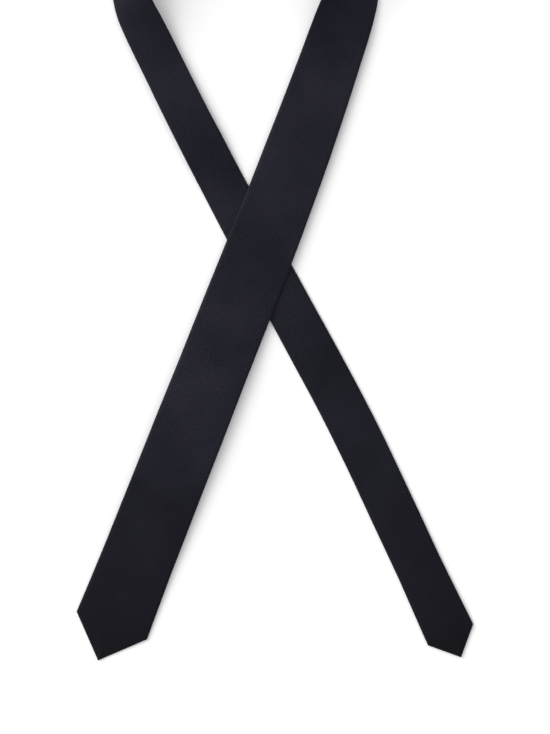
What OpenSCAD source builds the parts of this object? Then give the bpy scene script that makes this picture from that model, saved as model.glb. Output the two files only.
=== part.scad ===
// Slim necktie, lying on a table as it is worn: the neck loop stands on its outer edge and leans
// inwards, and the two ends cross below it, front side up, with the blade over the tail.
// The origin is on the table under the point where the two centrelines cross. +Y runs up
// towards the neck loop, and +Z is up. Places along the tie are distances from the blade's point.

/* [Overall] */
// Length of the whole tie, from point to point
tie_length = 1480; // [1230:1:1780]
// Thickness of the finished tie: two layers of shell with the interlining between them
thickness = 2.8; // [2.3:0.01:3.6]
// Thickness of the shell cloth
cloth = 0.5; // [0.35:0.01:0.7]

/* [Blade] */
// Width of the blade at its two corners
blade_w = 60; // [50:0.5:72]
// Width of the blade where it crosses the tail
blade_mid_w = 54.7; // [45:0.1:66]
// Width of the blade a little above the crossing, where it starts to narrow faster
blade_upper_w = 52; // [43:0.1:63]
// Length of blade below the crossing
blade_below = 349; // [290:1:419]

/* [Tail] */
// Width of the tail at its two corners
tail_w = 39.6; // [33:0.1:48]
// Width of the tail just below the crossing
tail_mid_w = 36.7; // [30:0.1:45]
// Length of tail below the crossing
tail_below = 360; // [300:1:432]
// Distance from the crossing up to the seam that ends the tail's piece of shell
tail_above = 129; // [107:1:155]

/* [Neck] */
// Width of the tie at its neck, the narrowest part
neck_w = 33; // [27:0.5:40]
// Length of the neck's piece of shell, between its two slanted seams
neck_piece = 211; // [175:1:254]
// Lean of the neck loop, from flat on the table to upright
neck_lean = 65; // [45:1:80]

/* [Keeper loop] */
// Distance from the blade's point to the middle of the keeper loop
keeper_at = 230; // [190:1:280]
// Width of the keeper loop, along the blade
keeper_w = 14; // [10:0.5:20]
// Length of the keeper loop, across the blade
keeper_span = 44; // [36:0.5:53]
// Room in the keeper loop for the tail
keeper_gap = 3.2; // [2.6:0.1:3.9]

/* [Hidden] */

// What is above the crossing, and how much of it each leg takes before the loop begins
above_length = tie_length - blade_below - tail_below;
upper_leg = above_length * 0.2335;
tail_seam = tie_length - tail_below - tail_above;
blade_seam = tail_seam - neck_piece;

// How the two legs lie: each heading is measured from +Y
blade_heading = 21.56;    // of the blade at the crossing and all the way to its point
tail_heading = 28.5;      // of the tail at the crossing
blade_turn = 2.77;        // bend of the blade from the crossing to the top of its leg
tail_turn = 2.47;         // bend of the tail from the top of its leg to the crossing
tail_straight = 110;      // straight stretch of tail below the crossing
tail_bend = 90;           // the stretch below that, which bends back a little
tail_bend_turn = -3.5;
end_flare = 2.2;          // how much each end narrows in its first stretch
flare_length = 60;

// Heights above the table of the underside
keeper_t = 0.7;                      // thickness of the keeper loop
keeper_thread = 0.35;                // of the stitches that hold it
keeper_rise = keeper_gap + keeper_t + keeper_thread + 0.6;  // of the blade over its keeper loop
over_rise = thickness + 0.3;         // of the blade over the tail, and of both legs at the neck's fold
keeper_fall = 58;                    // stretch beyond the keeper loop where the blade comes down
tail_point_rise = 0.5;               // of the tail's point
loop_start = upper_leg - 15;         // distance above the crossing where the legs begin to turn over
loop_turn_length = 130;

// Clearances and small sizes
fold_gap = 0.3;           // between two solids that fold against each other
seam_gap = 0.2;           // between two pieces of shell that are sewn together
slit = 0.5;               // between the two edges of shell that meet on the back
slit_off = 3.5;           // from the centreline to that slit
hem = 5;                  // width of the hem along each point
mitre = 0.1;              // between the two halves of the hem, where they meet at the point
point_cut = 1;            // how much each point is blunted
layer_gap = 0.1;          // between one layer of cloth and the next
tipping_t = 0.25;
tipping_length = 110;
thread = 0.3;
crossing_margin = 4;      // from the crossing's corners to the fold lines
tack_above_flaps = 6;     // from where the flaps meet to the bar tack
keeper_flat = 2.5;        // at each end of the keeper loop, where it is sewn on
keeper_shoulder = 8;      // from there to where it stands off in full
loop_step = 5;            // longest step between the rings of the neck loop
ring_step = 12;           // of the strips beside the crossing
leg_step = 40;            // and of a straight leg
fan = 30;                 // stretch over which the rings beside a slanted seam turn to follow it

function smooth(t) = let (c = min(1, max(0, t))) c * c * (3 - 2 * c);
function direction(a) = [cos(a), sin(a), 0];

// The neck loop: an arc that touches both legs and takes up the rest of the length
function advance(pose, stretch, d) =
    let (turn = stretch[1], a = pose[2], b = a + turn * d / stretch[0])
    turn == 0
        ? [pose[0] + d * cos(a), pose[1] + d * sin(a), a]
        : let (r = stretch[0] * 180 / (PI * turn))
          [pose[0] + r * (sin(b) - sin(a)), pose[1] - r * (cos(b) - cos(a)), b];
up_blade = [0, 0, 90 - blade_heading];
up_tail = [0, 0, 90 + tail_heading];
blade_top = advance(up_blade, [upper_leg, blade_turn], upper_leg);
tail_top = advance(up_tail, [upper_leg, -tail_turn], upper_leg);
spread = tail_top[2] - blade_top[2];
gap_x = blade_top[0] - tail_top[0];
gap_y = blade_top[1] - tail_top[1];
// Distances from each leg's top back to the point where the two lines would meet
blade_back = (gap_x * sin(tail_top[2]) - gap_y * cos(tail_top[2])) / sin(spread);
tail_back = (gap_x * sin(blade_top[2]) - gap_y * cos(blade_top[2])) / sin(spread);
rest_length = tie_length - blade_below - tail_below - 2 * upper_leg;
loop_turn = 180 + spread;
loop_r = (rest_length + blade_back + tail_back) / (2 / tan(spread / 2) + loop_turn * PI / 180);
touch = loop_r / tan(spread / 2);

// Stretches of the centreline as [length, turn], from the crossing up the blade and round
route = [
    [upper_leg, blade_turn],
    [touch - blade_back, 0],
    [loop_r * loop_turn * PI / 180, loop_turn],
    [touch - tail_back, 0],
    [upper_leg, tail_turn],
    [tail_straight, 0],
    [tail_bend, tail_bend_turn],
    [tail_below - tail_straight - tail_bend, 0]
];
function walk(d, i = 0, pose = up_blade) =
    i == len(route) - 1 || d <= route[i][0]
        ? advance(pose, route[i], d)
        : walk(d - route[i][0], i + 1, advance(pose, route[i], route[i][0]));

// Place and heading of the centreline at a distance from the blade's point
function pose(s) =
    s < blade_below ? advance(up_blade, [1, 0], s - blade_below) : walk(s - blade_below);

// Distances above the crossing, up the blade and up the tail
function up_the_blade(s) = s - blade_below;
function up_the_tail(s) = tie_length - tail_below - s;
function above(s) = min(up_the_blade(s), up_the_tail(s));

function width(s) = min(
    2 * s,
    2 * (tie_length - s),
    lookup(s, [
        [blade_w / 2, blade_w],
        [blade_w / 2 + flare_length, blade_w - end_flare],
        [blade_below, blade_mid_w],
        [blade_below + 90, blade_upper_w],
        [blade_seam, neck_w + 1],
        [(blade_seam + tail_seam) / 2, neck_w],
        [tail_seam, neck_w + 1],
        [tie_length - 0.8 * tail_below, tail_mid_w],
        [tie_length - tail_w / 2 - flare_length, tail_w - end_flare],
        [tie_length - tail_w / 2, tail_w]
    ]));

// Angle by which the strip turns over towards its outer edge
function roll(s) = neck_lean * smooth((above(s) - loop_start) / loop_turn_length);

function height(s) =
    let (down = over_rise * smooth((above(s) - loop_start) / loop_turn_length))
    up_the_blade(s) < up_the_tail(s)
        ? keeper_rise * smooth(s / (keeper_at - keeper_w))
          - (keeper_rise - over_rise) * smooth((s - keeper_at - keeper_w) / keeper_fall) - down
        : over_rise * smooth((up_the_tail(s) - over_tail) / tail_rise_length) - down
          + tail_point_rise * smooth((-up_the_tail(s) - tail_straight) / (tail_below - tail_straight));

// A point of the tie: s along it, u across it towards the inside of the loop, v up from its back
function place(s, u, v) =
    let (p = pose(s), a = roll(s), left = direction(p[2] + 90))
    [p[0], p[1], height(s) + width(s) / 2 * sin(a)]
        + u * (cos(a) * left + [0, 0, sin(a)])
        + v * ([0, 0, cos(a)] - sin(a) * left);

// Where the strips cross, and the fold lines that keep clear of that place
meet = blade_heading + tail_heading;
over_blade = (tail_mid_w / 2 + blade_mid_w / 2 * cos(meet)) / sin(meet);
over_tail = (blade_mid_w / 2 + tail_mid_w / 2 * cos(meet)) / sin(meet);
blade_fold = blade_below + over_blade + crossing_margin;
tail_fold = tie_length - tail_below + over_tail + 2 * crossing_margin;
tail_rise_length = 50;

// The neck's fold line runs along the tail's seam and squarely across the blade
seam_point = pose(tail_seam);
function foot(s, n) =
    let (p = pose(s))
    n == 0 ? s : foot(s + (seam_point[0] - p[0]) * cos(p[2]) + (seam_point[1] - p[1]) * sin(p[2]), n - 1);
neck_fold = foot(blade_fold, 5);
fold_heading = pose(neck_fold)[2] - 90;
tail_skew = tan(seam_point[2] + 90 - fold_heading);
blade_skew = 1;

// Slant of the ring at a distance from the blade's point
function beside(s, seam) = max(0, 1 - abs(s - seam) / fan);
function skew(s) = blade_skew * beside(s, blade_seam) + tail_skew * beside(s, tail_seam);

// One tie's outline, seen along it: the rounded side of a strip of half width a and radius r
side_angles = [-90, -30, 30, 90];
function side(a, r, t) = [a - r + r * cos(t), thickness / 2 + r * sin(t)];
function mirrored(p) = [-p[0], p[1]];

// Half width of the opening between the hem of a point and the edges of the two flaps
function opening(w, s) = max(min(s - hem * sqrt(2), w - s), 0);

// Where the edges of the two flaps are: at the mitre near a point, and then at the slit
function flap_edge(w, s, end) =
    let (middle = s < w / 2 ? 0 : slit_off, half = s < w / 2 ? mitre / 2 : slit / 2)
    end > 0 ? max(middle + half, opening(w, s)) : min(middle - half, -opening(w, s));
function flap(s, end) =
    s < tie_length / 2 ? flap_edge(blade_w, s, end) : flap_edge(tail_w, tie_length - s, end);

// Sections are chains of pairs of points, one outside and one inside, from flap to flap. Each has
// a point on the same line along the tie, so that all layers bend and twist alike
function middle(a) = min(slit_off, a / 4);
shell_section = function (s)
    let (a = width(s) / 2, r = min(thickness / 2, 0.9 * a), low = thickness / 2 - r, top = thickness / 2 + r)
    concat(
        [[[flap(s, 1), low], [flap(s, 1), low + cloth]]],
        [for (t = side_angles) [side(a, r, t), side(a - cloth, r - cloth, t)]],
        [[[middle(a), top], [middle(a), top - cloth]]],
        [for (t = side_angles) [mirrored(side(a, r, -t)), mirrored(side(a - cloth, r - cloth, -t))]],
        [[[flap(s, -1), low], [flap(s, -1), low + cloth]]]
    );

// A flat layer inside the shell, from height v0 to v1 and inset from the edges
function layer_section(inset, v0, v1) = function (s)
    let (a = width(s) / 2 - inset) [for (u = [a, middle(a), -a]) [[u, v1], [u, v0]]];

// A strip from u0 to u1 and from v0 to v1
function bar_section(u0, u1, v0, v1) = function (s) [[[u1, v1], [u1, v0]], [[u0, v1], [u0, v0]]];

// The keeper loop lies flat where it is sewn on, and stands off the blade between
keeper_inner = keeper_span / 2 - keeper_flat;
function keeper_drop(u) = layer_gap + keeper_gap * smooth((keeper_inner - abs(u)) / keeper_shoulder);
keeper_section = function (s)
    [for (u = [keeper_span / 2, each [for (i = [6:-1:-6]) keeper_inner * i / 6], -keeper_span / 2])
        [[u, -keeper_drop(u)], [u, -keeper_drop(u) - keeper_t]]];

// Places where the outline of an end changes, as distances from its point
function breaks(w) = [
    point_cut + 1,
    hem * sqrt(2) + mitre / 2,
    w / 2,
    (w + hem * sqrt(2)) / 2,
    w - slit_off - slit / 2,
    w + slit_off - slit / 2,
    w / 2 + flare_length
];
blade_breaks = breaks(blade_w);
tail_breaks = [for (x = breaks(tail_w)) tie_length - x];

// All layers share one set of rings, so that they bend together and stay apart
function steps(a, b, step) = let (n = ceil((b - a) / step)) [for (i = [0:n - 1]) a + (b - a) * i / n];
all_rings = concat(
    blade_breaks,
    steps(max(blade_breaks) + leg_step, blade_fold, leg_step),
    steps(blade_fold, neck_fold, ring_step),
    steps(neck_fold, blade_seam, loop_step),
    steps(blade_seam, tail_seam, loop_step),
    steps(tail_seam, tail_fold, ring_step),
    steps(tail_fold, min(tail_breaks) - leg_step / 2, leg_step / 2),
    [for (i = [len(tail_breaks) - 1:-1:0]) tail_breaks[i]]
);
function rings(s0, s1) = concat([s0], [for (s = all_rings) if (s > s0 + 0.9 && s < s1 - 0.9) s], [s1]);

// A strip that follows the tie: one solid through all its rings. Every face of a ring is cut in
// two along the diagonal that leans the same way
module strip(section, places) {
    k = len(section(places[0]));
    m = 2 * k;
    last = len(places) - 1;
    outlines = [for (s = places) let (p = section(s)) [for (i = [0:m - 1]) i < k ? p[i][0] : p[m - 1 - i][1]]];
    points = [
        for (j = [0:last])
            let (slant = skew(places[j]))
            for (q = outlines[j]) place(places[j] + slant * q[0], q[0], q[1])
    ];
    leans = [for (i = [0:m - 1]) outlines[0][(i + 1) % m][0] > outlines[0][i][0]];
    function halves(q, lean) = lean
        ? [[q[0], q[1], q[2]], [q[0], q[2], q[3]]]
        : [[q[0], q[1], q[3]], [q[1], q[2], q[3]]];
    faces = concat(
        [for (i = [0:k - 2]) each halves([i, m - 1 - i, m - 2 - i, i + 1], true)],
        [for (j = [0:last - 1], i = [0:m - 1])
            let (n = (i + 1) % m)
            each halves([j * m + i, j * m + n, (j + 1) * m + n, (j + 1) * m + i], leans[i])],
        [for (i = [0:k - 2])
            let (b = last * m)
            each halves([b + i, b + i + 1, b + m - 2 - i, b + m - 1 - i], true)]
    );
    polyhedron(points, faces);
}

silk = "#1c1c28";
lining = "#15151d";
wool = "#d9d2c2";
thread_colour = "#0e0e16";

module blade_shell_lower() color(silk)
    strip(shell_section, rings(point_cut, blade_fold - fold_gap / 2));

module blade_shell_middle() color(silk)
    strip(shell_section, rings(blade_fold + fold_gap / 2, neck_fold - fold_gap / 2));

module blade_shell_upper() color(silk)
    strip(shell_section, rings(neck_fold + fold_gap / 2, blade_seam - seam_gap / 2));

module neck_shell() color(silk)
    strip(shell_section, rings(blade_seam + seam_gap / 2, tail_seam - fold_gap / 2));

module tail_shell_upper() color(silk)
    strip(shell_section, rings(tail_seam + fold_gap / 2, tail_fold - fold_gap / 2));

module tail_shell_lower() color(silk)
    strip(shell_section, rings(tail_fold + fold_gap / 2, tie_length - point_cut));

// The interlining fills the shell and stops short of its folds
interlining_v = cloth + tipping_t + 2 * layer_gap;
interlining_t = thickness - cloth - 2.5 * layer_gap - interlining_v;
interlining_section = layer_section(cloth + 0.8, interlining_v, interlining_v + interlining_t);
point_clear = point_cut + 3;

module blade_interlining_lower() color(wool)
    strip(interlining_section, rings(point_clear, blade_fold - fold_gap));

module blade_interlining_middle() color(wool)
    strip(interlining_section, rings(blade_fold + fold_gap, neck_fold - fold_gap));

module neck_interlining() color(wool)
    strip(interlining_section, rings(neck_fold + fold_gap, tail_seam - fold_gap));

module tail_interlining_upper() color(wool)
    strip(interlining_section, rings(tail_seam + fold_gap, tail_fold - fold_gap));

module tail_interlining_lower() color(wool)
    strip(interlining_section, rings(tail_fold + fold_gap, tie_length - point_clear));

tipping_section = layer_section(cloth + 1, cloth + layer_gap, cloth + layer_gap + tipping_t);

module blade_tipping() color(lining)
    strip(tipping_section, rings(point_clear, tipping_length));

module tail_tipping() color(lining)
    strip(tipping_section, rings(tie_length - tipping_length * tail_w / blade_w, tie_length - point_clear));

// The slip stitch is one thread in the slit, from bar tack to bar tack
blade_tack = blade_w + tack_above_flaps;
tail_tack = tie_length - tail_w - tack_above_flaps;
stitch_section = bar_section(slit_off - thread / 2, slit_off + thread / 2, layer_gap, layer_gap + thread);

module slip_stitch(s0, s1) color(thread_colour)
    strip(stitch_section, rings(s0 + fold_gap, s1 - fold_gap));

module slip_stitch_blade() slip_stitch(blade_tack, blade_fold);
module slip_stitch_crossing() {
    slip_stitch(blade_fold, neck_fold);
    slip_stitch(tail_seam, tail_fold);
}
module slip_stitch_neck() slip_stitch(neck_fold, tail_seam);
module slip_stitch_tail() slip_stitch(tail_fold, tail_tack);

// Bar tacks lie across the slit, on the back
tack_w = 1.4;
tack_length = 10;
module bar_tack(s) color(thread_colour)
    strip(bar_section(slit_off - tack_length / 2, slit_off + tack_length / 2, -thread - layer_gap, -layer_gap),
        [s - tack_w / 2, s + tack_w / 2]);

module blade_bar_tack() bar_tack(blade_tack);
module tail_bar_tack() bar_tack(tail_tack);

module keeper_loop() color(silk)
    strip(keeper_section, rings(keeper_at - keeper_w / 2, keeper_at + keeper_w / 2));

// One row of stitches at each end of the keeper loop, on its outside
module keeper_stitches() color(thread_colour)
    for (end = [-1, 1]) {
        middle = end * (keeper_span / 2 - keeper_flat / 2);
        top = -layer_gap - keeper_t - 0.03;
        strip(bar_section(middle - 0.4, middle + 0.4, top - keeper_thread, top),
            rings(keeper_at - keeper_w / 2 + 1.5, keeper_at + keeper_w / 2 - 1.5));
    }

module care_label() color("#b9b9bd")
    strip(bar_section(-11, 11, -0.35, -layer_gap),
        rings(keeper_at - keeper_w / 2 - 32, keeper_at - keeper_w / 2 - 4));

// A line of stitches just inside the front of the shell, along each seam
seam_thread_t = 0.12;
module seam_thread(s)
    let (top = thickness - cloth - 0.08)
    strip(layer_section(thickness / 2, top - seam_thread_t, top), [s - 0.2, s + 0.2]);

module blade_seam_thread() color(thread_colour) seam_thread(blade_seam - 0.35);
module tail_seam_thread() color(thread_colour) seam_thread(tail_seam + 0.45);

blade_shell_lower();
blade_interlining_lower();
blade_tipping();
keeper_loop();
keeper_stitches();
blade_bar_tack();
care_label();
slip_stitch_blade();
blade_shell_middle();
tail_shell_upper();
blade_interlining_middle();
tail_interlining_upper();
tail_seam_thread();
slip_stitch_crossing();
blade_shell_upper();
neck_shell();
neck_interlining();
blade_seam_thread();
slip_stitch_neck();
tail_shell_lower();
tail_interlining_lower();
tail_tipping();
tail_bar_tack();
slip_stitch_tail();
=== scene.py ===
from math import ceil, cos, exp, pi, radians, sin, sqrt, tan

import bmesh
import bpy
import numpy as np
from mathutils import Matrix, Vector, noise


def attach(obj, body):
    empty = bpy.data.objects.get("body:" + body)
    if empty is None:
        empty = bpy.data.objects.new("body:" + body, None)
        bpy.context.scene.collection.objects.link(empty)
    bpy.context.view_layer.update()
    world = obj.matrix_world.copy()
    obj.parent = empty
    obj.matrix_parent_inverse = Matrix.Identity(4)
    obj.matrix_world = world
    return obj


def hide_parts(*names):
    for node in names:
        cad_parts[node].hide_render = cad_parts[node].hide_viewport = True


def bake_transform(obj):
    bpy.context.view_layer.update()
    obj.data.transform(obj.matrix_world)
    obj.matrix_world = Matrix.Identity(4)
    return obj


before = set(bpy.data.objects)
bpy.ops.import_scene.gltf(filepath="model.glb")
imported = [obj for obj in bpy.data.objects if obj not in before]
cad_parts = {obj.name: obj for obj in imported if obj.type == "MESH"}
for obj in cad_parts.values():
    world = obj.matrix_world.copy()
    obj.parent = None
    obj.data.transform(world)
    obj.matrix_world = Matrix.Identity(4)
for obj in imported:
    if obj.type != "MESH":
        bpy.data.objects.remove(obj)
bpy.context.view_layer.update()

# Sizes are in millimetres and angles in degrees, unless a comment says otherwise
tie = {
    "length": 1480,
    "bladeWidth": 60,
    "bladeMiddleWidth": 54.7,
    "bladeUpperWidth": 52,
    "bladeBelow": 349,
    "tailWidth": 39.6,
    "tailMiddleWidth": 36.7,
    "tailBelow": 360,
    "tailAbove": 129,
    "neckWidth": 33,
    "neckPiece": 211,
    "neckLean": 65,
    "keeperAt": 230,
    "keeperWidth": 14,
    "keeperSpan": 44,
    "keeperRise": 4.85,
    "keeperFall": 58,
    "overRise": 3.1,
    "riseLength": 50,
    "tailPointRise": 0.5,
    "hem": 5,
}
lie = {
    "bladeHeading": 21.56,
    "tailHeading": 28.5,
    "legShare": 0.2335,
    "bladeTurn": 2.77,
    "tailTurn": 2.47,
    "tailStraight": 110,
    "tailBend": 90,
    "tailBendTurn": -3.5,
    "endFlare": 2.2,
    "flareLength": 60,
    "upperFlareLength": 90,
    "seamFlare": 1,
    "tailMiddleShare": 0.8,
    "loopLead": 15,
    "loopTurnLength": 130,
    "bladeSkew": 1,
    "fan": 30,
    "margin": 4,
    "foldPasses": 5,
    "tableStep": 0.2,
}


def smooth(t):
    t = np.clip(t, 0, 1)
    return t * t * (3 - 2 * t)


def advance(pose, stretch, distance):
    # The pose (x, y, heading) after a distance on a stretch of constant bend (length, turn)
    x, y, a = pose
    length, turn = stretch
    b = a + turn * distance / length
    if turn == 0:
        return (x + distance * cos(radians(a)), y + distance * sin(radians(a)), a)
    r = length * 180 / (pi * turn)
    return (
        x + r * (sin(radians(b)) - sin(radians(a))),
        y - r * (cos(radians(b)) - cos(radians(a))),
        b,
    )


length = tie["length"]
aboveLength = length - tie["bladeBelow"] - tie["tailBelow"]
upperLeg = aboveLength * lie["legShare"]
tailSeam = length - tie["tailBelow"] - tie["tailAbove"]
bladeSeam = tailSeam - tie["neckPiece"]
loopStart = upperLeg - lie["loopLead"]

upBlade = (0, 0, 90 - lie["bladeHeading"])
upTail = (0, 0, 90 + lie["tailHeading"])
bladeTop = advance(upBlade, (upperLeg, lie["bladeTurn"]), upperLeg)
tailTop = advance(upTail, (upperLeg, -lie["tailTurn"]), upperLeg)
spread = tailTop[2] - bladeTop[2]
gapX, gapY = bladeTop[0] - tailTop[0], bladeTop[1] - tailTop[1]


def backTo(other):
    # How far behind a leg's top the two legs' lines cross
    a = radians(other[2])
    return (gapX * sin(a) - gapY * cos(a)) / sin(radians(spread))


bladeBack, tailBack = backTo(tailTop), backTo(bladeTop)
loopTurn = 180 + spread
loopRadius = (aboveLength - 2 * upperLeg + bladeBack + tailBack) / (
    2 / tan(radians(spread / 2)) + radians(loopTurn)
)
touch = loopRadius / tan(radians(spread / 2))
route = [
    (upperLeg, lie["bladeTurn"]),
    (touch - bladeBack, 0),
    (loopRadius * radians(loopTurn), loopTurn),
    (touch - tailBack, 0),
    (upperLeg, lie["tailTurn"]),
    (lie["tailStraight"], 0),
    (lie["tailBend"], lie["tailBendTurn"]),
    (tie["tailBelow"] - lie["tailStraight"] - lie["tailBend"], 0),
]


def poseAt(s):
    distance = s - tie["bladeBelow"]
    pose = upBlade
    if distance < 0:
        return advance(pose, (1, 0), distance)
    for stretch in route[:-1]:
        if distance <= stretch[0]:
            return advance(pose, stretch, distance)
        pose = advance(pose, stretch, stretch[0])
        distance -= stretch[0]
    return advance(pose, route[-1], distance)


# The centreline, tabulated along the tie from the blade's point
along = np.arange(0, length + lie["tableStep"] / 2, lie["tableStep"])
poses = np.array([poseAt(s) for s in along])
bladeWidth, tailWidth, neckWidth = tie["bladeWidth"], tie["tailWidth"], tie["neckWidth"]
outline = [
    (bladeWidth / 2, bladeWidth),
    (bladeWidth / 2 + lie["flareLength"], bladeWidth - lie["endFlare"]),
    (tie["bladeBelow"], tie["bladeMiddleWidth"]),
    (tie["bladeBelow"] + lie["upperFlareLength"], tie["bladeUpperWidth"]),
    (bladeSeam, neckWidth + lie["seamFlare"]),
    ((bladeSeam + tailSeam) / 2, neckWidth),
    (tailSeam, neckWidth + lie["seamFlare"]),
    (length - lie["tailMiddleShare"] * tie["tailBelow"], tie["tailMiddleWidth"]),
    (length - tailWidth / 2 - lie["flareLength"], tailWidth - lie["endFlare"]),
    (length - tailWidth / 2, tailWidth),
]
widths = np.interp(along, [p[0] for p in outline], [p[1] for p in outline])
widths = np.minimum(widths, np.minimum(2 * along, 2 * (length - along)))

# How far the strip has turned onto its edge, and how high its back lies above the floor
upTheBlade = along - tie["bladeBelow"]
upTheTail = length - tie["tailBelow"] - along
above = np.minimum(upTheBlade, upTheTail)
turned = smooth((above - loopStart) / lie["loopTurnLength"])
meet = radians(lie["bladeHeading"] + lie["tailHeading"])
halfTail, halfBlade = tie["tailMiddleWidth"] / 2, tie["bladeMiddleWidth"] / 2
overBlade = (halfTail + halfBlade * cos(meet)) / sin(meet)
overTail = (halfBlade + halfTail * cos(meet)) / sin(meet)
keeperEnd = tie["keeperAt"] + tie["keeperWidth"]
toKeeper = smooth(along / (tie["keeperAt"] - tie["keeperWidth"]))
pastKeeper = smooth((along - keeperEnd) / tie["keeperFall"])
onBlade = tie["keeperRise"] * toKeeper - (tie["keeperRise"] - tie["overRise"]) * pastKeeper
pastCrossing = smooth((upTheTail - overTail) / tie["riseLength"])
lastStretch = tie["tailBelow"] - lie["tailStraight"]
toPoint = smooth((-upTheTail - lie["tailStraight"]) / lastStretch)
onTail = tie["overRise"] * pastCrossing + tie["tailPointRise"] * toPoint
heights = np.where(upTheBlade < upTheTail, onBlade, onTail) - tie["overRise"] * turned

# Fold lines: above and below the crossing, and the neck's line through the tail's seam
bladeFold = tie["bladeBelow"] + overBlade + lie["margin"]
tailFold = length - tie["tailBelow"] + overTail + 2 * lie["margin"]
seamPoint = poseAt(tailSeam)
neckFold = bladeFold
for step in range(lie["foldPasses"]):
    x, y, a = poseAt(neckFold)
    neckFold += (seamPoint[0] - x) * cos(radians(a)) + (seamPoint[1] - y) * sin(radians(a))
foldHeading = poseAt(neckFold)[2] - 90
tailSkew = tan(radians(seamPoint[2] + 90 - foldHeading))


def skewAt(s):
    toBlade = max(0, 1 - abs(s - bladeSeam) / lie["fan"])
    toTail = max(0, 1 - abs(s - tailSeam) / lie["fan"])
    return lie["bladeSkew"] * toBlade + tailSkew * toTail


def widthAt(s):
    return float(np.interp(s, along, widths))


def nearestPoint(s):
    return min(s, length - s)


def place(s, u, v):
    # s along the tie from the blade's point, u across it, v up from its back; gives metres
    heading = np.radians(np.interp(s, along, poses[:, 2]))
    lean = radians(tie["neckLean"]) * np.interp(s, along, turned)
    rise = np.interp(s, along, heights) + np.interp(s, along, widths) / 2 * np.sin(lean)
    out = u * np.cos(lean) - v * np.sin(lean)
    x = np.interp(s, along, poses[:, 0]) - out * np.sin(heading)
    y = np.interp(s, along, poses[:, 1]) + out * np.cos(heading)
    return np.stack([x, y, rise + u * np.sin(lean) + v * np.cos(lean)], axis=1) / 1000


def spots(points):
    # Places given as (s, u, v)
    s, u, v = (np.array(x, float) for x in zip(*points))
    return place(s, u, v)


print("fold map", round(loopRadius, 2), round(bladeFold, 2), round(neckFold, 2), round(tailFold, 2))


# Shader helpers
def newMaterial(name):
    material = bpy.data.materials.new(name)
    material.use_nodes = True
    tree = material.node_tree
    return material, tree, tree.nodes["Principled BSDF"]


def calc(tree, operation, a, b=None, c=None):
    node = tree.nodes.new("ShaderNodeMath")
    node.operation = operation
    for slot, value in zip(node.inputs, (a, b, c)):
        if value is None:
            continue
        if isinstance(value, (int, float)):
            slot.default_value = value
        else:
            tree.links.new(value, slot)
    return node.outputs[0]


def wave(tree, distance, turns):
    return calc(tree, "SINE", calc(tree, "MULTIPLY", distance, turns))


def swayed(tree, base, source, gain):
    # The base, moved by how far the source is from its middle at 0.5
    offset = base - gain / 2 if isinstance(base, float) else calc(tree, "ADD", base, -gain / 2)
    return calc(tree, "MULTIPLY_ADD", source, gain, offset)


def speckle(tree, vector, scale, detail=2.0, roughness=0.5):
    node = tree.nodes.new("ShaderNodeTexNoise")
    node.inputs["Scale"].default_value = scale
    node.inputs["Detail"].default_value = detail
    node.inputs["Roughness"].default_value = roughness
    tree.links.new(vector, node.inputs["Vector"])
    return node.outputs[0]


def mixColour(tree, factor, a, b):
    node = tree.nodes.new("ShaderNodeMix")
    node.data_type = "RGBA"
    for slot, value in ((node.inputs[6], a), (node.inputs[7], b)):
        if isinstance(value, tuple):
            slot.default_value = (*value, 1)
        else:
            tree.links.new(value, slot)
    tree.links.new(factor, node.inputs[0])
    return node.outputs[2]


def toneColour(tree, tone, look):
    clamp = tree.nodes.new("ShaderNodeClamp")
    tree.links.new(tone, clamp.inputs[0])
    return mixColour(tree, clamp.outputs[0], look["dark"], look["light"])


def bumped(tree, shader, height, strength, distance):
    # The distance is in metres
    node = tree.nodes.new("ShaderNodeBump")
    node.inputs["Strength"].default_value = strength
    node.inputs["Distance"].default_value = distance
    tree.links.new(height, node.inputs["Height"])
    tree.links.new(node.outputs[0], shader.inputs["Normal"])


def patternAxes(tree):
    # The cloth's own flat coordinates, in millimetres across and along
    source = tree.nodes.new("ShaderNodeUVMap")
    source.uv_map = "pattern"
    split = tree.nodes.new("ShaderNodeSeparateXYZ")
    tree.links.new(source.outputs[0], split.inputs[0])
    across = calc(tree, "MULTIPLY", split.outputs[0], 1000.0)
    lengthways = calc(tree, "MULTIPLY", split.outputs[1], 1000.0)
    join = tree.nodes.new("ShaderNodeCombineXYZ")
    tree.links.new(across, join.inputs[0])
    tree.links.new(lengthways, join.inputs[1])
    return across, lengthways, join.outputs[0]


# Noise is given as scale per millimetre, detail and roughness
silkLook = {
    "dark": (0.0046, 0.0047, 0.0112),
    "light": (0.0260, 0.0254, 0.0410),
    "worn": (0.042, 0.042, 0.060),
    "wornShare": 0.5,
    "threadPeriod": 0.34,
    "wobbleNoise": (0.35, 2.0, 0.5),
    "wobble": 0.5,
    "twillSlope": (1.5, 0.5),
    "ribs": 0.3,
    "warp": 0.22,
    "weft": 0.12,
    "fineNoise": (0.75, 3.0, 0.7),
    "broadNoise": (0.016, 2.5, 0.55),
    "broadTone": 1.5,
    "weaveTone": 0.34,
    "fineTone": 2.6,
    "roughness": 0.52,
    "weaveRoughness": 0.16,
    "broadRoughness": -0.3,
    "specular": 0.12,
    "specularTint": (0.86, 0.86, 1, 1),
    "sheen": 0.015,
    "sheenRoughness": 0.35,
    "sheenTint": (0.75, 0.76, 1, 1),
    "fineRelief": 2.2,
    "weaveBump": 0.6,
    "bumpDistance": 0.00006,
}
# Painted light and shade on the silk: brightness levels at shares of the tie's length, darker
# towards both points and brightest on the blade near the keeper loop; the first two are the ends of
# the ramp
paintedShadeLevels = [
    (0, 0.4),
    (1, 0.4),
    (0.08, 0.66),
    (0.149, 1.3),
    (0.22, 1.05),
    (0.75, 1.0),
    (0.85, 0.82),
    (0.93, 0.6),
]


# Painted light and shade: a brightness ramp along the tie that scales the silk's base colour
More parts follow.
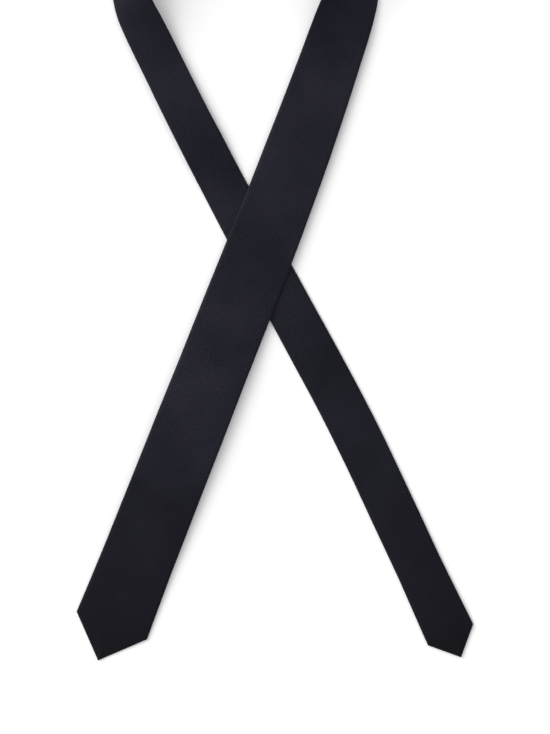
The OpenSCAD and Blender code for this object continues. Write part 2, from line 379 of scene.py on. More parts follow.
def paintedShadeAlong(tree, lengthways):
    node = tree.nodes.new("ShaderNodeValToRGB")
    ramp = node.color_ramp
    ramp.interpolation = "EASE"
    for k, (at, level) in enumerate(paintedShadeLevels):
        stop = ramp.elements[k] if k < 2 else ramp.elements.new(at)
        stop.position = at
        stop.color = (level, level, level, 1)
    tree.links.new(calc(tree, "MULTIPLY", lengthways, 1 / length), node.inputs[0])
    return node.outputs[0]


def silkMaterial():
    look = silkLook
    material, tree, shader = newMaterial("silk twill")
    across, lengthways, flat = patternAxes(tree)
    warp = calc(tree, "MULTIPLY", calc(tree, "ADD", across, lengthways), sqrt(0.5))
    weft = calc(tree, "MULTIPLY", calc(tree, "SUBTRACT", across, lengthways), sqrt(0.5))
    wobble = calc(tree, "MULTIPLY", speckle(tree, flat, *look["wobbleNoise"]), look["wobble"])
    turns = 2 * pi / look["threadPeriod"]
    warpWave = wave(tree, calc(tree, "ADD", warp, wobble), turns)
    weftWave = wave(tree, calc(tree, "ADD", weft, wobble), turns)
    warpShare, weftShare = (
        calc(tree, "MULTIPLY", axis, slope) for axis, slope in zip((warp, weft), look["twillSlope"])
    )
    twill = calc(tree, "ADD", warpShare, weftShare)
    ribs = wave(tree, calc(tree, "ADD", twill, wobble), turns / 2)
    warpPart = calc(tree, "MULTIPLY", warpWave, look["warp"])
    weftPart = calc(tree, "MULTIPLY_ADD", weftWave, look["weft"], 0.5)
    weave = calc(tree, "MULTIPLY_ADD", ribs, look["ribs"], warpPart)
    weave = calc(tree, "ADD", weave, weftPart)
    fine = speckle(tree, flat, *look["fineNoise"])
    broad = speckle(tree, flat, *look["broadNoise"])
    tone = swayed(tree, 0.5, broad, look["broadTone"])
    tone = swayed(tree, tone, weave, look["weaveTone"])
    tone = swayed(tree, tone, fine, look["fineTone"])
    cloth = toneColour(tree, tone, look)
    wear = tree.nodes.new("ShaderNodeAttribute")
    wear.attribute_name = "wear"
    wornSpots = calc(tree, "MULTIPLY", fine, look["wornShare"])
    worn = calc(tree, "MULTIPLY", wear.outputs["Fac"], wornSpots)
    colour = mixColour(tree, worn, cloth, look["worn"])
    # Painted light and shade along the tie: level 1 shows half of the colour, so that a level above
    # 1 stays inside the mix
    paintedShadeShare = calc(tree, "MULTIPLY", paintedShadeAlong(tree, lengthways), 0.5)
    lit = mixColour(tree, paintedShadeShare, (0.0, 0.0, 0.0), colour)
    tree.links.new(lit, shader.inputs["Base Color"])
    rough = swayed(tree, look["roughness"], weave, look["weaveRoughness"])
    rough = swayed(tree, rough, broad, look["broadRoughness"])
    tree.links.new(rough, shader.inputs["Roughness"])
    shader.inputs["Specular IOR Level"].default_value = look["specular"]
    shader.inputs["Specular Tint"].default_value = look["specularTint"]
    shader.inputs["Sheen Weight"].default_value = look["sheen"]
    shader.inputs["Sheen Roughness"].default_value = look["sheenRoughness"]
    shader.inputs["Sheen Tint"].default_value = look["sheenTint"]
    relief = calc(tree, "MULTIPLY_ADD", fine, look["fineRelief"], weave)
    bumped(tree, shader, relief, look["weaveBump"], look["bumpDistance"])
    return material


clothLooks = {
    "lining": {
        "dark": (0.004, 0.004, 0.009),
        "light": (0.012, 0.012, 0.022),
        "period": 0.3,
        "rough": 0.42,
        "bump": 0.3,
    },
    "wool": {
        "dark": (0.42, 0.38, 0.31),
        "light": (0.68, 0.63, 0.53),
        "period": 0.9,
        "rough": 0.95,
        "bump": 0.8,
    },
    "label": {
        "dark": (0.50, 0.48, 0.43),
        "light": (0.68, 0.66, 0.60),
        "period": 0.35,
        "rough": 0.5,
        "bump": 0.3,
    },
    "thread": {
        "dark": (0.005, 0.005, 0.010),
        "light": (0.03, 0.03, 0.045),
        "period": 0.5,
        "rough": 0.5,
        "bump": 0.6,
    },
}
plainWeave = {
    "stripes": 0.3,
    "cross": 0.2,
    "fineNoise": (1.6, 3.0, 0.6),
    "broadNoise": (0.06, 2.0, 0.5),
    "weaveTone": 0.4,
    "fineTone": 0.35,
    "broadTone": 0.5,
    "toneAtNone": -0.15,
    "fineRoughness": 0.2,
    "specular": 0.16,
    "bumpDistance": 0.0001,
}


def clothMaterial(name):
    # Plain cloth or twisted thread: fine diagonal stripes, specks and slow changes of tone
    look, plain = clothLooks[name], plainWeave
    material, tree, shader = newMaterial(name)
    across, lengthways, flat = patternAxes(tree)
    turns = 2 * pi / look["period"]
    stripes = wave(tree, calc(tree, "ADD", lengthways, across), turns)
    cross = calc(tree, "MULTIPLY_ADD", wave(tree, across, turns), plain["cross"], 0.5)
    weave = calc(tree, "MULTIPLY_ADD", stripes, plain["stripes"], cross)
    fine = speckle(tree, flat, *plain["fineNoise"])
    broad = speckle(tree, flat, *plain["broadNoise"])
    specks = calc(tree, "MULTIPLY", fine, plain["fineTone"])
    patches = calc(tree, "MULTIPLY_ADD", broad, plain["broadTone"], plain["toneAtNone"])
    tone = calc(tree, "MULTIPLY_ADD", weave, plain["weaveTone"], specks)
    tone = calc(tree, "ADD", tone, patches)
    tree.links.new(toneColour(tree, tone, look), shader.inputs["Base Color"])
    rough = swayed(tree, look["rough"], fine, plain["fineRoughness"])
    tree.links.new(rough, shader.inputs["Roughness"])
    shader.inputs["Specular IOR Level"].default_value = plain["specular"]
    bumped(tree, shader, weave, look["bump"], plain["bumpDistance"])
    return material


silk = silkMaterial()
lining, wool, label, thread = (clothMaterial(n) for n in ("lining", "wool", "label", "thread"))
print("materials")

# Mesh helpers
clothAngle, threadAngle = 50, 60


def gridMesh(columns, rows):
    # A grid as a list of rows of vertices, with its pattern coordinates and its wear
    bm = bmesh.new()
    layer = bm.loops.layers.uv.new("pattern")
    wear = bm.verts.layers.float.new("wear")
    bmesh.ops.create_grid(bm, x_segments=columns - 1, y_segments=rows - 1, size=1)
    ordered = sorted(bm.verts, key=lambda p: (round(p.co.y, 5), round(p.co.x, 5)))
    return bm, [ordered[j * columns : (j + 1) * columns] for j in range(rows)], layer, wear


def laidFlat(bm, layer, flat):
    for face in bm.faces:
        for loop in face.loops:
            loop[layer].uv = flat[loop.vert]


def finished(bm, name, material, thickness, smoothAngle):
    # The mesh as an object; a thickness in metres grows to the inside
    mesh = bpy.data.meshes.new(name)
    bm.to_mesh(mesh)
    bm.free()
    item = bpy.data.objects.new(name, mesh)
    bpy.context.scene.collection.objects.link(item)
    mesh.materials.append(material)
    if thickness:
        solid = item.modifiers.new("thickness", "SOLIDIFY")
        solid.thickness = thickness
        solid.offset = -1
        solid.use_even_offset = True
        solid.use_rim = True
        graph = bpy.context.evaluated_depsgraph_get()
        mesh = bpy.data.meshes.new_from_object(item.evaluated_get(graph))
        item.modifiers.clear()
        item.data = mesh
        mesh.name = name
    mesh.shade_smooth()
    mesh.set_sharp_from_angle(angle=radians(smoothAngle))
    return item


def strip(name, rings, section, material, thickness):
    # Cloth along the tie; section(s) gives (u, v, girth, wear) for each column of the ring at s
    rows = [section(s) for s in rings]
    bm, grid, layer, wear = gridMesh(len(rows[0]), len(rings))
    flat = {}
    for s, row, points in zip(rings, grid, rows):
        u, v, girth, worn = (np.array(x, float) for x in zip(*points))
        sAlong = s + skewAt(s) * u
        for vertex, co, g, t, w in zip(row, place(sAlong, u, v), girth, sAlong, worn):
            vertex.co = co
            vertex[wear] = w
            flat[vertex] = (g / 1000, t / 1000)
    laidFlat(bm, layer, flat)
    return finished(bm, name, material, thickness, clothAngle)


def ringsBetween(start, end, step, special):
    # Ring places from start to end, with the special ones kept exactly
    fixed = sorted({start, end, *(x for x in special if start < x < end)})
    places = []
    for a, b in zip(fixed, fixed[1:]):
        count = max(1, ceil((b - a) / step))
        places += [a + (b - a) * i / count for i in range(count)]
    return places + [end]


# Smooth unevenness from -1 to 1, finer across than along, with a seed for each use
acrossShare = 1.6
seeds = {"edge": 3.0, "puff": 7.0, "ripple": 9.0, "lining": 4.0, "keeper": 5.0, "label": 2.0}


def drift(s, u, scale, use):
    return noise.noise(Vector((s / scale, u / scale * acrossShare, seeds[use])))


# The shell: silk folded round from flap to flap, the left flap's edge lying on the right one
shellCut = {
    "cloth": 0.42,
    "roll": 4.4,
    "rollShare": 0.8,
    "underRoll": 1.7,
    "underShare": 0.4,
    "edgeHeight": 1.1,
    "shoulderHeight": 2.18,
    "crown": 0.62,
    "overlap": 1.5,
    "flapAt": 3.5,
    "lift": 0.46,
    "liftWidth": 3,
    "mitreHalf": 0.05,
    "seamGroove": 0.3,
    "grooveWidth": 0.7,
    "pointThickness": 0.74,
    "pointTaper": 40,
    "pointEnd": 0.35,
    "ringStep": 1.6,
}
shellDrift = {
    "edgeWander": 0.22,
    "wanderLength": 55,
    "wanderLeastHalf": 12,
    "wanderFrom": 30,
    "puff": 0.16,
    "puffLength": 42,
    "ripple": 0.5,
    "rippleLength": 17,
}
shellWear = {
    "edgeWidth": 0.5,
    "point": 0.8,
    "pointLength": 2.5,
    "flap": 0.35,
    "flapWidth": 0.8,
}
flapColumns, underColumns, rollColumns, frontColumns = 18, 5, 9, 26
mitreEnd = tie["hem"] * sqrt(2)


def flapEdges(s):
    # Where the right and the left flap end on the back of the ring at s
    w, near = (bladeWidth, s) if s < length / 2 else (tailWidth, length - s)
    if near < (w + mitreEnd) / 2:
        half = max(shellCut["mitreHalf"], near - mitreEnd)
        return half, -half
    return max(-shellCut["overlap"], w - near), min(shellCut["flapAt"], near - w)


def grooveAt(s):
    toSeam = min(abs(s - bladeSeam), abs(s - tailSeam))
    return shellCut["seamGroove"] * exp(-toSeam / shellCut["grooveWidth"])


def quarter(columns):
    return [pi / 2 * i / columns for i in range(columns)]


def shellProfile(a, roll, under, edge, shoulder, flatten, right, left):
    # The ring's (u, v) from the right flap's edge round the front to the left flap's edge
    inner, side = a - under, a - roll
    points = []
    for i in range(flapColumns):
        u = right + (inner - right) * i / flapColumns
        lap = float(smooth((left + shellCut["liftWidth"] - u) / shellCut["liftWidth"]))
        points.append((u, shellCut["lift"] * (lap if left > right else 0) * flatten))
    for t in quarter(underColumns):
        points.append((inner + under * sin(t), edge - edge * cos(t)))
    for t in quarter(rollColumns):
        points.append((side + roll * cos(t), edge + (shoulder - edge) * sin(t)))
    for i in range(frontColumns):
        u = side - 2 * side * i / frontColumns
        points.append((u, shoulder + shellCut["crown"] * flatten * (1 - (u / side) ** 2)))
    for t in quarter(rollColumns):
        points.append((-side - roll * sin(t), edge + (shoulder - edge) * cos(t)))
    for t in quarter(underColumns):
        points.append((-inner - under * cos(t), edge - edge * sin(t)))
    for i in range(flapColumns + 1):
        points.append((-inner + (left + inner) * i / flapColumns, 0.0))
    return points


def shellSection(s):
    cut, uneven, wear = shellCut, shellDrift, shellWear
    a, near = widthAt(s) / 2, nearestPoint(s)
    taper = float(smooth(near / cut["pointTaper"]))
    flatten = cut["pointThickness"] + (1 - cut["pointThickness"]) * taper
    roll = min(cut["roll"], cut["rollShare"] * a)
    under = min(cut["underRoll"], cut["underShare"] * a)
    edge, shoulder = cut["edgeHeight"] * flatten, cut["shoulderHeight"] * flatten
    right, left = flapEdges(s)
    points = shellProfile(a, roll, under, edge, shoulder, flatten, right, left)

    groove = grooveAt(s)
    swing = uneven["edgeWander"] * drift(s, 0, uneven["wanderLength"], "edge")
    swing /= max(a, uneven["wanderLeastHalf"])
    wander = 1 + swing * smooth(near / uneven["wanderFrom"])
    back = flapColumns + underColumns
    front = range(back, len(points) - back - 1)
    middle = (front.start + front.stop) // 2
    lengths = [0.0]
    for p, q in zip(points, points[1:]):
        lengths.append(lengths[-1] + sqrt((p[0] - q[0]) ** 2 + (p[1] - q[1]) ** 2))
    result = []
    for i, (u, v) in enumerate(points):
        worn = 0.0
        if i in front:
            settle = float(smooth((v - edge) / (shoulder - edge)))
            puff = drift(s, u, uneven["puffLength"], "puff")
            puff += uneven["ripple"] * drift(s, u, uneven["rippleLength"], "ripple")
            v += settle * (uneven["puff"] * puff - groove)
            worn = exp(-(((v - edge) / wear["edgeWidth"]) ** 2))
            worn += wear["point"] * exp(-near / wear["pointLength"])
        elif abs(u) < a - under:
            toFlap = abs(u - (left if i > middle else right))
            worn = wear["flap"] * exp(-toFlap / wear["flapWidth"])
        result.append((u * wander, v, lengths[i] - lengths[middle], min(worn, 1)))
    return result


# Rings kept exactly: where an outline or a flap bends, close to the points and at the seams
def pointKinks(w):
    return [w / 2, (w + mitreEnd) / 2, w - shellCut["flapAt"], w + shellCut["overlap"]]


pointRings = [0.6, 1.0, 1.5, 2.1, 2.8, 3.6, 4.5, 5.5, mitreEnd]
seamRings = [0.35, 0.7, 1.2, 2, 3]
special = pointKinks(bladeWidth) + pointRings
special += [length - x for x in pointKinks(tailWidth) + pointRings]
for seam in (bladeSeam, tailSeam):
    special += [seam + side * d for side in (-1, 1) for d in seamRings]

# Where the strips are divided, above the crossing and under it
middleCut = 417.7
underCut = length - tie["tailBelow"]


def shell(name, start, end):
    rings = ringsBetween(start, end, shellCut["ringStep"], special)
    piece = strip(name, rings, shellSection, silk, shellCut["cloth"] / 1000)
    return piece


bladeCloth = shell("blade_cloth", shellCut["pointEnd"], middleCut)
bladeNeckCloth = shell("blade_neck_cloth", middleCut, bladeSeam)
neckCloth = shell("neck_cloth", bladeSeam, tailSeam)
tailUpperCloth = shell("tail_upper_cloth", tailSeam, underCut)
tailCloth = shell("tail_cloth", underCut, length - shellCut["pointEnd"])
print("silk shell")

# Interlining: one thick wool strip along the inside
woolCut = {
    "inset": 3.6,
    "bottom": 1.06,
    "thickness": 0.8,
    "pointGap": 12,
    "pointHalf": 0.5,
    "leastHalf": 0.4,
    "pointDrop": 0.35,
    "pointTaper": 40,
    "endGap": 0.3,
    "columns": 12,
    "ringStep": 1.6,
}


def woolSection(s):
    near, columns = nearestPoint(s), woolCut["columns"]
    a = min(widthAt(s) / 2 - woolCut["inset"], near - woolCut["pointGap"] + woolCut["pointHalf"])
    a = max(a, woolCut["leastHalf"])
    drop = woolCut["pointDrop"] * (1 - float(smooth(near / woolCut["pointTaper"])))
    top = woolCut["bottom"] + woolCut["thickness"] - drop - grooveAt(s)
    return [(a - 2 * a * i / columns, top, 2 * a * i / columns, 0) for i in range(columns + 1)]


def woolStrip(name, start, end):
    rings = ringsBetween(start, end, woolCut["ringStep"], special)
    piece = strip(name, rings, woolSection, wool, woolCut["thickness"] / 1000)
    return piece


woolBlade = woolStrip("wool_blade", woolCut["pointGap"], middleCut)
woolNeck = woolStrip("wool_neck", middleCut + woolCut["endGap"], underCut - woolCut["endGap"])
woolTail = woolStrip("wool_tail", underCut, length - woolCut["pointGap"])
print("wool")

# Tipping: the lining cloth seen inside each point, lifted where it passes over the left flap
tippingCut = {
    "inset": 1.3,
    "leastHalf": 0.3,
    "thickness": 0.14,
    "height": 0.56,
    "lift": 0.34,
    "liftBefore": 12,
    "liftLength": 10,
    "liftCentre": 1,
    "liftHalf": 8,
    "liftEdge": 4,
    "ripple": 0.03,
    "rippleLength": 9,
    "length": 110,
    "pointGap": 3.4,
    "columns": 24,
    "ringStep": 1.6,
}


def tippingStrip(name, w, start, end):
    cut, columns = tippingCut, tippingCut["columns"]

    def section(s):
        near = nearestPoint(s)
        a = max(min(widthAt(s) / 2, near) - cut["inset"], cut["leastHalf"])
        points = []
        for i in range(columns + 1):
            u = a - 2 * a * i / columns
            lengthways = smooth((near - w + cut["liftBefore"]) / cut["liftLength"])
            sideways = smooth((cut["liftHalf"] - abs(u - cut["liftCentre"])) / cut["liftEdge"])
            lifted = float(lengthways * sideways)
            ripple = cut["ripple"] * drift(s, u, cut["rippleLength"], "lining")
            v = cut["height"] + cut["thickness"] + cut["lift"] * lifted + ripple
            points.append((u, v, 2 * a * i / columns, 0))
        return points

    rings = ringsBetween(start, end, cut["ringStep"], special)
    piece = strip(name, rings, section, lining, cut["thickness"] / 1000)
    return piece


pointGap, tippingLength = tippingCut["pointGap"], tippingCut["length"]
tailTippingStart = length - tippingLength * tailWidth / bladeWidth
bladeTipping = tippingStrip("blade_lining", bladeWidth, pointGap, tippingLength)
tailTipping = tippingStrip("tail_lining", tailWidth, tailTippingStart, length - pointGap)
print("tippings")

# Threads
threadSides = 6


def cordMesh(bm, layer, path, radius):
    # Adds a closed round thread through points in metres; the pattern runs along it
    path = [Vector(p) for p in path]
    turns = [2 * pi * k / threadSides for k in range(threadSides)]
    rings, run = [], [0.0]
    for i, point in enumerate(path):
        ahead = path[min(i + 1, len(path) - 1)] - path[max(i - 1, 0)]
        ahead.normalize()
        sideways = ahead.cross(Vector((0, 0, 1)))
        if sideways.length < 0.1:
            sideways = ahead.cross(Vector((0, 1, 0)))
        sideways.normalize()
        upwards = sideways.cross(ahead)
        spokes = [cos(t) * sideways + sin(t) * upwards for t in turns]
        rings.append([bm.verts.new(point + radius * spoke) for spoke in spokes])
        if i:
            run.append(run[-1] + (point - path[i - 1]).length)
    for j in range(len(rings) - 1):
        for k in range(threadSides):
            n = (k + 1) % threadSides
            face = bm.faces.new((rings[j][k], rings[j][n], rings[j + 1][n], rings[j + 1][k]))
            where = ((k, j), (k + 1, j), (k + 1, j + 1), (k, j + 1))
            for loop, (a, b) in zip(face.loops, where):
                loop[layer].uv = (a * 2 * pi * radius / threadSides, run[b])
    bm.faces.new(rings[0][::-1])
    bm.faces.new(rings[-1])


def threads(name, paths, radius):
    bm = bmesh.new()
    layer = bm.loops.layers.uv.new("pattern")
    for path in paths:
        cordMesh(bm, layer, path, radius / 1000)
    bmesh.ops.recalc_face_normals(bm, faces=bm.faces)
    piece = finished(bm, name, thread, 0, threadAngle)
    return piece


# Slip stitch: one thread zigzags in and out beside the left flap's folded edge
slipStitch = {
    "pitch": 9,
    "step": 2.25,
    "out": 0.2,
    "swing": 0.5,
    "height": 0.3,
    "depth": 0.14,
    "radius": 0.13,
    "tackGap": 1,
    "endGap": 0.4,
}
tackAbove = 6


def slipThread(name, start, end):
    count = int((end - start) / slipStitch["step"])
    points = []
    for i in range(count + 1):
        s = start + (end - start) * i / count
        phase = 2 * pi * (s - start) / slipStitch["pitch"]
        u = shellCut["flapAt"] + slipStitch["out"] + slipStitch["swing"] * sin(phase)
        v = slipStitch["height"] + slipStitch["depth"] * cos(phase)
        points.append((s + skewAt(s) * u, u, v))
    return threads(name, [spots(points)], slipStitch["radius"])


tackToPoint = tackAbove + slipStitch["tackGap"]
neckStart, neckEnd = middleCut + slipStitch["endGap"], underCut - slipStitch["endGap"]
slipBlade = slipThread("slip_thread_blade", bladeWidth + tackToPoint, middleCut)
slipNeck = slipThread("slip_thread_neck", neckStart, neckEnd)
slipTail = slipThread("slip_thread_tail", underCut, length - tailWidth - tackToPoint)

# Bar tacks: close turns of thread across the place where the flaps meet, over two long stitches
barTack = {
    "span": 10,
    "width": 1.5,
    "turns": 13,
    "radius": 0.15,
    "lean": 0.25,
    "turn": ((-1, 0.12), (-0.8, -0.14), (0, -0.2), (0.8, -0.14), (1, 0.12)),
    "lineOff": 0.35,
    "lineReach": 0.3,
    "lineHeight": -0.02,
}


def tack(name, s):
    middle, half, side = shellCut["flapAt"], barTack["span"] / 2, barTack["width"] / 2
    paths = []
    for i in range(barTack["turns"]):
        u = middle - half + barTack["span"] * i / (barTack["turns"] - 1)
        lean = barTack["lean"] if i % 2 else -barTack["lean"]
        paths.append(spots([(s + k * side, u + k * lean, v) for k, v in barTack["turn"]]))
    reach, low = half + barTack["lineReach"], barTack["lineHeight"]
    for d in (-barTack["lineOff"], barTack["lineOff"]):
        paths.append(spots([(s + d, middle - reach, low), (s + d, middle + reach, low)]))
    return threads(name, paths, barTack["radius"])


bladeTack = tack("blade_tack", bladeWidth + tackAbove)
tailTack = tack("tail_tack", length - tailWidth - tackAbove)

# Seam threads: the rows of machine stitches inside the two slanted seams
seamStitch = {
    "length": 2.2,
    "pointsEach": 4,
    "radius": 0.13,
    "height": 1.0,
    "dip": 0.12,
    "past": 0.15,
    "inset": 4.5,
}


def seamThread(name, seam):
    reach = widthAt(seam) / 2 - seamStitch["inset"]
    count = int(2 * reach / (seamStitch["length"] / seamStitch["pointsEach"]))
    points = []
    for i in range(count + 1):
        u = -reach + 2 * reach * i / count
        dip = seamStitch["dip"] * sin(2 * pi * (u + reach) / seamStitch["length"])
        s = seam + seamStitch["past"] + skewAt(seam) * u
        points.append((s, u, seamStitch["height"] + dip))
    return threads(name, [spots(points)], seamStitch["radius"])


bladeSeamThread = seamThread("seam_thread_blade", bladeSeam)
tailSeamThread = seamThread("seam_thread_tail", tailSeam)
print("threads")

# Keeper loop: a flattened tube of silk across the blade's back, sewn down at both ends
keeper = {
    "cloth": 0.24,
    "thickness": 0.7,
    "drop": 3.2,
    "flatEnd": 2.5,
    "shoulder": 8,
    "gap": 0.1,
    "sag": 0.12,
    "sagLength": 13,
    "sagHalf": 20,
    "sagEdge": 6,
    "edgeWear": 0.5,
    "patternStart": 0.3,
    "roundSteps": 6,
    "flatSteps": 10,
    "columns": 48,
}


def keeperDrop(u):
    inner = tie["keeperSpan"] / 2 - keeper["flatEnd"]
    return keeper["gap"] + keeper["drop"] * float(smooth((inner - abs(u)) / keeper["shoulder"]))


def keeperProfile():
    # The flattened tube's own section: round edges, flat under and flat on top, closed
    r = keeper["thickness"] / 2
    inner = tie["keeperWidth"] / 2 - r
    turns = [pi * i / keeper["roundSteps"] for i in range(keeper["roundSteps"] + 1)]
    runs = [2 * inner * i / keeper["flatSteps"] for i in range(1, keeper["flatSteps"])]
    section = [(inner + r * sin(t), r + r * cos(t)) for t in turns]
    section += [(inner - run, 0.0) for run in runs]
    section += [(-inner - r * sin(t), r - r * cos(t)) for t in turns]
    section += [(-inner + run, keeper["thickness"]) for run in runs]
    return section + [section[0]]


def keeperLoop():
    half, section = tie["keeperWidth"] / 2, keeperProfile()
    bm, grid, layer, wear = gridMesh(len(section), keeper["columns"] + 1)
    flat = {}
    for j, row in enumerate(grid):
        u = tie["keeperSpan"] * (j / keeper["columns"] - 0.5)
        bottom = -keeperDrop(u) - keeper["thickness"]
        slack = keeper["sag"] * float(smooth((keeper["sagHalf"] - abs(u)) / keeper["sagEdge"]))
        girth = 0.0
        for k, (vertex, (ds, dv)) in enumerate(zip(row, section)):
            if k:
                before = section[k - 1]
                girth += sqrt((ds - before[0]) ** 2 + (dv - before[1]) ** 2)
            sag = slack * drift(ds * 2, u, keeper["sagLength"], "keeper")
            vertex.co = spots([(tie["keeperAt"] + ds, u, bottom + dv + sag)])[0]
            vertex[wear] = exp(-(((abs(ds) - half) / keeper["edgeWear"]) ** 2))
            flat[vertex] = (girth / 1000 + keeper["patternStart"], u / 1000)
    laidFlat(bm, layer, flat)
    bmesh.ops.remove_doubles(bm, verts=bm.verts, dist=1e-7)
    bmesh.ops.recalc_face_normals(bm, faces=bm.faces)
    piece = finished(bm, "keeper_band", silk, keeper["cloth"] / 1000, clothAngle)
    return piece


keeperBand = keeperLoop()

# Its stitches: slanted ones over both sewn ends, each a path of offsets (s, u outwards, v)
keeperStitch = {
    "count": 6,
    "reach": 5.5,
    "inset": 1.25,
    "radius": 0.14,
    "path": ((0, -0.9, 0.12), (0.25, -0.5, -0.1), (0.45, 0.5, -0.1), (0.6, 1.5, 0.5)),
}


def keeperStitching():
    count, reach = keeperStitch["count"], keeperStitch["reach"]
    low = -keeper["gap"] - keeper["thickness"]
    paths = []
    for side in (-1, 1):
        u = side * (tie["keeperSpan"] / 2 - keeperStitch["inset"])
        for i in range(count):
            s = tie["keeperAt"] - reach + 2 * reach * i / (count - 1)
            path = [(s + ds, u + du * side, low + dv) for ds, du, dv in keeperStitch["path"]]
            paths.append(spots(path))
    return threads("keeper_stitching", paths, keeperStitch["radius"])


keeperStitches = keeperStitching()
print("keeper loop")

# Care label: a blank woven tape sewn to the blade's back above its lower end
careLabel = {
    "halfWidth": 11,
    "start": 191,
    "end": 219,
    "thickness": 0.22,
    "gap": 0.1,
    "curl": 0.05,
    "curlLength": 8,
    "curlEdge": 4,
    "columns": 23,
    "rows": 29,
}


def labelTape():
    columns, rows, half = careLabel["columns"], careLabel["rows"], careLabel["halfWidth"]
    bm, grid, layer, wear = gridMesh(columns, rows)
    flat = {}
    for j, row in enumerate(grid):
        s = careLabel["start"] + (careLabel["end"] - careLabel["start"]) * j / (rows - 1)
        for i, vertex in enumerate(row):
            u = half * (1 - 2 * i / (columns - 1))
            uneven = careLabel["curl"] * (1 + drift(s, u, careLabel["curlLength"], "label"))
            curl = uneven * float(smooth(1 - abs(abs(u) - half) / careLabel["curlEdge"]))
            vertex.co = spots([(s, u, -careLabel["gap"] - curl)])[0]
            vertex[wear] = 0.0
            flat[vertex] = (u / 1000, s / 1000)
    laidFlat(bm, layer, flat)
    piece = finished(bm, "label_tape", label, 0, clothAngle)
    solid = piece.modifiers.new("thickness", "SOLIDIFY")
    solid.thickness = careLabel["thickness"] / 1000
    solid.offset = -1
    return piece


labelPiece = labelTape()
print("label")

# Each fold: the height of its line, and how far it bends on the crossing's side and beyond
folds = {
    "blade": {"at": bladeFold, "height": 5.9, "inner": 13, "outer": -13},
    "neck": {"at": neckFold, "height": 5.9, "inner": -13, "outer": 13},
    "tail": {"at": tailFold, "height": 2.8, "inner": -7, "outer": 11},
}


def foldZone(body):
    fold = folds[body]
    x, y, a = poseAt(fold["at"])
    pivot = Vector((x, y, fold["height"])) / 1000
    ahead = Vector((cos(radians(a)), sin(radians(a)), 0)) / 1000
    return pivot + fold["inner"] * ahead, pivot + fold["outer"] * ahead


# The fold zones, and the small pieces that move with the blade's or the tail's body
bladeZone, neckZone, tailZone = foldZone("blade"), foldZone("neck"), foldZone("tail")
neckPieces = (bladeNeckCloth, neckCloth, tailUpperCloth, woolNeck, slipNeck)
for piece in (bladeCloth, woolBlade, slipBlade):
    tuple(bladeZone[0])
    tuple(bladeZone[1])
    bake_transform(piece)
for piece in (*neckPieces, bladeSeamThread, tailSeamThread):
    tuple(neckZone[0])
    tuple(neckZone[1])
    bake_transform(piece)
for piece in (tailCloth, woolTail, slipTail):
    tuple(tailZone[0])
    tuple(tailZone[1])
    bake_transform(piece)
for piece in (bladeTipping, keeperBand, keeperStitches, bladeTack, labelPiece):
    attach(piece, "blade")
for piece in (tailTipping, tailTack):
    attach(piece, "tail")

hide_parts("blade_shell_lower")
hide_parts("blade_shell_middle", "blade_shell_upper")
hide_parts("neck_shell")
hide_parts("tail_shell_upper")
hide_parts("tail_shell_lower")
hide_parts("blade_interlining_lower")
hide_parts("blade_interlining_middle", "neck_interlining", "tail_interlining_upper")
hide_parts("tail_interlining_lower")
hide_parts("slip_stitch_blade")
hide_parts("slip_stitch_neck", "slip_stitch_crossing")
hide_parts("slip_stitch_tail")
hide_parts("blade_seam_thread")
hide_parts("tail_seam_thread")
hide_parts("blade_tipping")
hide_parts("tail_tipping")
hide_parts("keeper_loop")
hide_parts("keeper_stitches")
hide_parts("blade_bar_tack")
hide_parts("tail_bar_tack")
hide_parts("care_label")

# Floor, light and camera, with places in metres
stage = {
    "floorHalf": 4,
    "floorLight": (0.93, 0.93, 0.93),
    "floorDark": (0.915, 0.915, 0.917),
    "floorGrain": 6.0,
    "floorRoughness": 0.9,
    "floorDrop": 0.00005,
    "brightSide": 1.3,
    "darkSide": 0.5,
    "brightFrom": (-0.9, 0.43, 0),
    "keyStrength": 1.7,
    "keyAngle": 44,
    "keyFrom": (-1.0, 0.5, 0.62),
    "cameraAt": (0.0126, -0.0911, 1.623),
    "lens": 100,
    "sensor": 36,
}


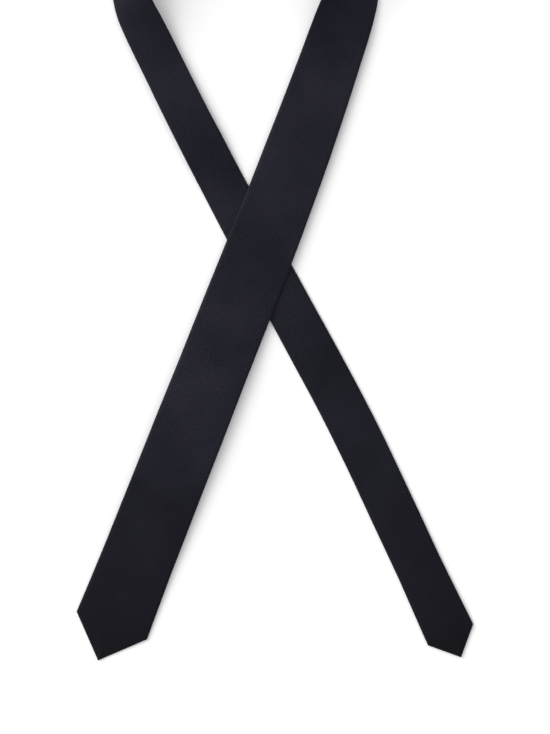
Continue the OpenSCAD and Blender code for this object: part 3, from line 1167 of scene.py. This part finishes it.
def stageFloor():
    bm = bmesh.new()
    bmesh.ops.create_grid(bm, x_segments=1, y_segments=1, size=stage["floorHalf"])
    mesh = bpy.data.meshes.new("floor")
    bm.to_mesh(mesh)
    bm.free()
    for corner in mesh.vertices:
        corner.co.z = -stage["floorDrop"]
    plane = bpy.data.objects.new("floor", mesh)
    bpy.context.scene.collection.objects.link(plane)
    material, tree, shader = newMaterial("floor paper")
    source = tree.nodes.new("ShaderNodeTexCoord")
    grain = speckle(tree, source.outputs["Object"], stage["floorGrain"])
    paper = mixColour(tree, grain, stage["floorDark"], stage["floorLight"])
    tree.links.new(paper, shader.inputs["Base Color"])
    shader.inputs["Roughness"].default_value = stage["floorRoughness"]
    shader.inputs["Specular IOR Level"].default_value = 0.0
    mesh.materials.append(material)


def stageSky():
    # White light all round, brighter from one side
    world = bpy.data.worlds.new("white room")
    world.use_nodes = True
    sky = world.node_tree
    direction = sky.nodes.new("ShaderNodeTexCoord")
    toLight = sky.nodes.new("ShaderNodeVectorMath")
    toLight.operation = "DOT_PRODUCT"
    toLight.inputs[1].default_value = stage["brightFrom"]
    sky.links.new(direction.outputs["Generated"], toLight.inputs[0])
    middle = (stage["brightSide"] + stage["darkSide"]) / 2
    swing = (stage["brightSide"] - stage["darkSide"]) / 2
    strength = calc(sky, "MULTIPLY_ADD", toLight.outputs["Value"], swing, middle)
    sky.nodes["Background"].inputs[0].default_value = (1, 1, 1, 1)
    sky.links.new(strength, sky.nodes["Background"].inputs[1])
    bpy.context.scene.world = world


def stageKey():
    data = bpy.data.lights.new("key", "SUN")
    data.energy = stage["keyStrength"]
    data.angle = radians(stage["keyAngle"])
    key = bpy.data.objects.new("key", data)
    key.rotation_euler = (-Vector(stage["keyFrom"])).to_track_quat("-Z", "Y").to_euler()
    bpy.context.scene.collection.objects.link(key)


def stageCamera():
    data = bpy.data.cameras.new("camera")
    data.lens = stage["lens"]
    data.sensor_width = stage["sensor"]
    camera = bpy.data.objects.new("camera", data)
    camera.location = stage["cameraAt"]
    bpy.context.scene.collection.objects.link(camera)
    bpy.context.scene.camera = camera


stageFloor()
stageSky()
stageKey()
stageCamera()
bpy.context.scene.view_settings.view_transform = "Standard"
print("stage")

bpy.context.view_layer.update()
